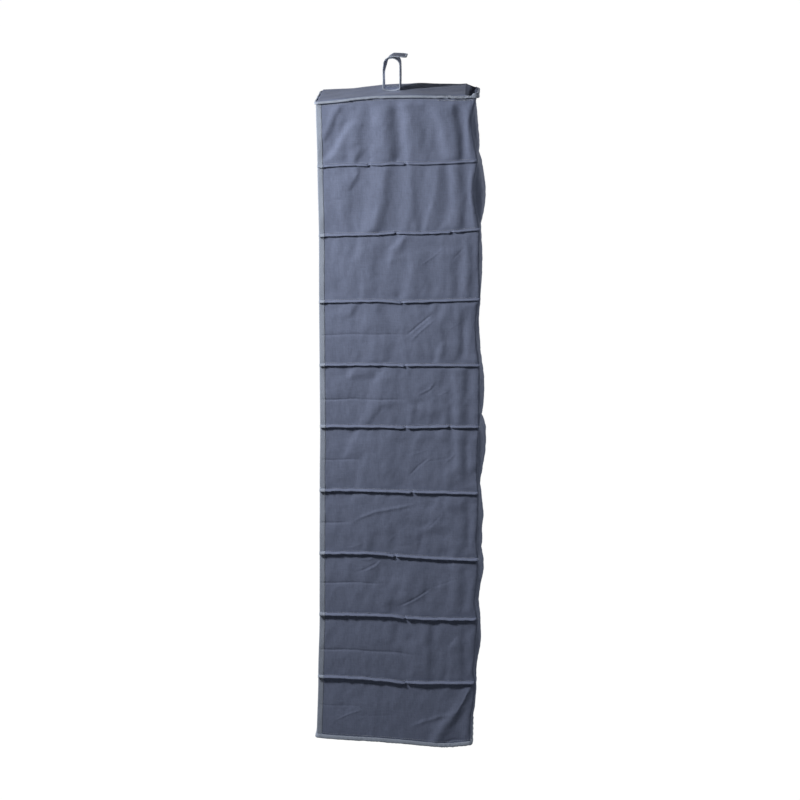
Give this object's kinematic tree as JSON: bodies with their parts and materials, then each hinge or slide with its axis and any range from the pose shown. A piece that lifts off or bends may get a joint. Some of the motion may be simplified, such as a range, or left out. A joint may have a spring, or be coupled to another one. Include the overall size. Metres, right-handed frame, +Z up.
{
  "type": "hanging shoe organizer",
  "caption": "Tall hanging fabric organizer for shoes, open at the front, with stiffened shelves, bound edges and a hook-and-loop strap for a wardrobe rail.",
  "frame": {"origin": "axis of the wardrobe rail that the closed strap hangs on, at the middle of the strap's width", "axes": "+Z up, -Y out of the open front, +X along the rail, to the right when looking into the compartments"},
  "size_m": [0.1592, 0.3022, 1.314],
  "materials": {
    "panel_fabric": "matte blue-grey woven polyester",
    "edging_tape": "light grey woven binding tape, turned over the edge and sewn",
    "closure_tape": "dark grey hook-and-loop tape",
    "thread": "spun polyester sewing thread",
    "stiffener_board": "plain grey-brown stiffener board"
  },
  "bodies": {
    "top_panel": {"top_cover_upper": "panel_fabric", "top_board": "stiffener_board", "top_cover_lower": "panel_fabric", "top_binding": "edging_tape", "sleeve": "panel_fabric", "side_binding_left": "edging_tape", "side_binding_right": "edging_tape", "strap_base": "panel_fabric", "strap_anchor_stitches": "thread"},
    "shelf_01": {"shelf_01_cover": "panel_fabric", "shelf_01_board": "stiffener_board", "shelf_01_front_binding": "edging_tape", "shelf_01_side_seams": "panel_fabric"},
    "shelf_02": {"shelf_02_cover": "panel_fabric", "shelf_02_board": "stiffener_board", "shelf_02_front_binding": "edging_tape", "shelf_02_side_seams": "panel_fabric"},
    "shelf_03": {"shelf_03_cover": "panel_fabric", "shelf_03_board": "stiffener_board", "shelf_03_front_binding": "edging_tape", "shelf_03_side_seams": "panel_fabric"},
    "shelf_04": {"shelf_04_cover": "panel_fabric", "shelf_04_board": "stiffener_board", "shelf_04_front_binding": "edging_tape", "shelf_04_side_seams": "panel_fabric"},
    "shelf_05": {"shelf_05_cover": "panel_fabric", "shelf_05_board": "stiffener_board", "shelf_05_front_binding": "edging_tape", "shelf_05_side_seams": "panel_fabric"},
    "shelf_06": {"shelf_06_cover": "panel_fabric", "shelf_06_board": "stiffener_board", "shelf_06_front_binding": "edging_tape", "shelf_06_side_seams": "panel_fabric"},
    "shelf_07": {"shelf_07_cover": "panel_fabric", "shelf_07_board": "stiffener_board", "shelf_07_front_binding": "edging_tape", "shelf_07_side_seams": "panel_fabric"},
    "shelf_08": {"shelf_08_cover": "panel_fabric", "shelf_08_board": "stiffener_board", "shelf_08_front_binding": "edging_tape", "shelf_08_side_seams": "panel_fabric"},
    "shelf_09": {"shelf_09_cover": "panel_fabric", "shelf_09_board": "stiffener_board", "shelf_09_front_binding": "edging_tape", "shelf_09_side_seams": "panel_fabric"},
    "bottom_panel": {"bottom_cover_lower": "panel_fabric", "bottom_board": "stiffener_board", "bottom_cover_upper": "panel_fabric", "bottom_binding": "edging_tape"},
    "strap_long": {"strap_long_band": "panel_fabric", "strap_long_edging": "edging_tape", "strap_hook_tape": "closure_tape"},
    "strap_short": {"strap_short_band": "panel_fabric", "strap_short_edging": "edging_tape", "strap_loop_tape": "closure_tape"}
  },
  "joints": [
    {"name": "bottom_lift", "type": "slide", "parent": "top_panel", "child": "bottom_panel", "axis": [0, 0, 1], "range_m": [0, 1.1244], "deforming": ["sleeve", "side_binding_left", "side_binding_right"]},
    {"name": "shelf_01_lift", "type": "slide", "parent": "top_panel", "child": "shelf_01", "axis": [0, 0, 1], "range_m": [0, 0.11294]},
    {"name": "shelf_02_lift", "type": "slide", "parent": "top_panel", "child": "shelf_02", "axis": [0, 0, 1], "range_m": [0, 0.22538]},
    {"name": "shelf_03_lift", "type": "slide", "parent": "top_panel", "child": "shelf_03", "axis": [0, 0, 1], "range_m": [0, 0.33782]},
    {"name": "shelf_04_lift", "type": "slide", "parent": "top_panel", "child": "shelf_04", "axis": [0, 0, 1], "range_m": [0, 0.45026]},
    {"name": "shelf_05_lift", "type": "slide", "parent": "top_panel", "child": "shelf_05", "axis": [0, 0, 1], "range_m": [0, 0.5627]},
    {"name": "shelf_06_lift", "type": "slide", "parent": "top_panel", "child": "shelf_06", "axis": [0, 0, 1], "range_m": [0, 0.67514]},
    {"name": "shelf_07_lift", "type": "slide", "parent": "top_panel", "child": "shelf_07", "axis": [0, 0, 1], "range_m": [0, 0.78758]},
    {"name": "shelf_08_lift", "type": "slide", "parent": "top_panel", "child": "shelf_08", "axis": [0, 0, 1], "range_m": [0, 0.90002]},
    {"name": "shelf_09_lift", "type": "slide", "parent": "top_panel", "child": "shelf_09", "axis": [0, 0, 1], "range_m": [0, 1.01246]},
    {"name": "strap_long_open", "type": "hinge", "parent": "top_panel", "child": "strap_long", "pos_m": [0, -0.0167, -0.045], "axis": [1, 0, 0], "range_deg": [0, 90]},
    {"name": "strap_short_lean", "type": "hinge", "parent": "top_panel", "child": "strap_short", "pos_m": [0, 0.01355, -0.045], "axis": [1, 0, 0], "range_deg": [-32, 0]}
  ],
  "couplings": [
    {"joint": "shelf_01_lift", "follows": "bottom_lift", "ratio": 0.1},
    {"joint": "shelf_02_lift", "follows": "bottom_lift", "ratio": 0.2},
    {"joint": "shelf_03_lift", "follows": "bottom_lift", "ratio": 0.3},
    {"joint": "shelf_04_lift", "follows": "bottom_lift", "ratio": 0.4},
    {"joint": "shelf_05_lift", "follows": "bottom_lift", "ratio": 0.5},
    {"joint": "shelf_06_lift", "follows": "bottom_lift", "ratio": 0.6},
    {"joint": "shelf_07_lift", "follows": "bottom_lift", "ratio": 0.7},
    {"joint": "shelf_08_lift", "follows": "bottom_lift", "ratio": 0.8},
    {"joint": "shelf_09_lift", "follows": "bottom_lift", "ratio": 0.9},
    {"joint": "strap_short_lean", "follows": "strap_long_open", "ratio": -0.35}
  ]
}
